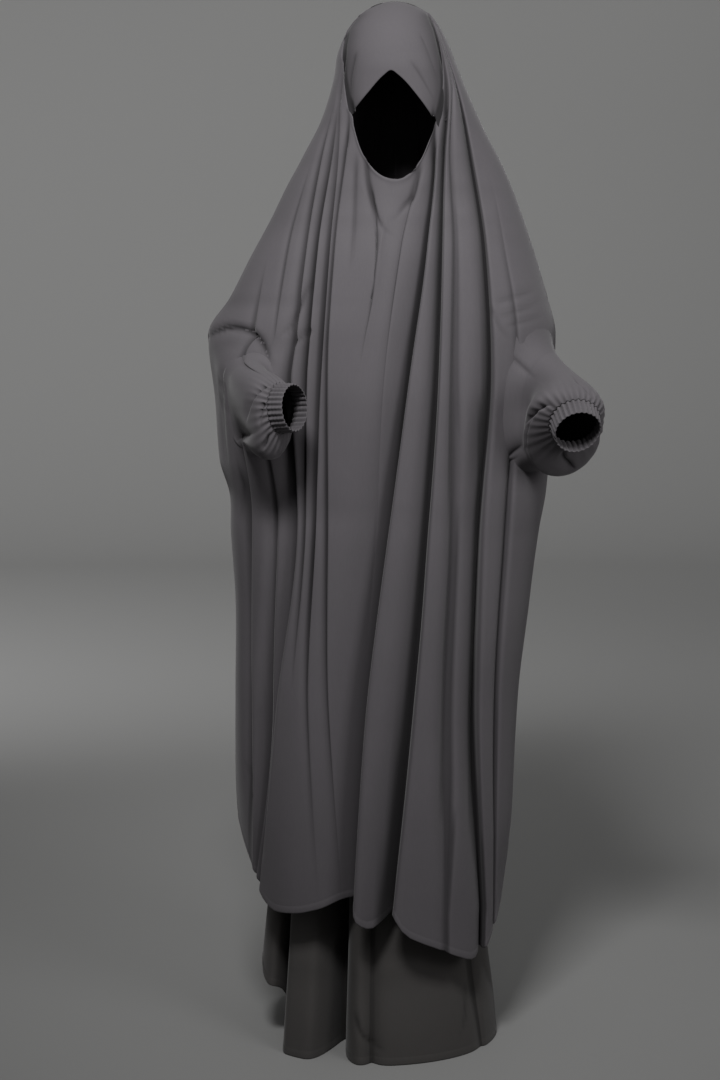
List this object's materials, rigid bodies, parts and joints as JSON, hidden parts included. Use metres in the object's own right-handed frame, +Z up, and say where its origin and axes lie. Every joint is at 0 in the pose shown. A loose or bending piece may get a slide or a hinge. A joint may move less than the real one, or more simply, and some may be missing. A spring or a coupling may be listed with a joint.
{
  "type": "two-piece jilbab",
  "caption": "Two-piece jilbab: long hooded over-garment with batwing sleeves gathered into elastic cuffs, over a floor-length skirt, in plain matte crepe.",
  "frame": {"origin": "inside of the hood's crown, where the wearer's head carries the garment", "axes": "+Z up, the garment's front towards -Y, +X to the right as seen from the front"},
  "size_m": [0.6361, 0.5399, 1.7515],
  "materials": {
    "over_crepe": "matte crepe, plain grey",
    "skirt_crepe": "matte crepe, plain grey"
  },
  "bodies": {
    "root": {"forehead_panel": "over_crepe", "khimar_front": "over_crepe", "khimar_back": "over_crepe", "sleeve_right": "over_crepe", "sleeve_left": "over_crepe", "cuff_right": "over_crepe", "cuff_left": "over_crepe", "skirt_front": "skirt_crepe", "skirt_back": "skirt_crepe", "skirt_waistband": "skirt_crepe"}
  },
  "joints": []
}
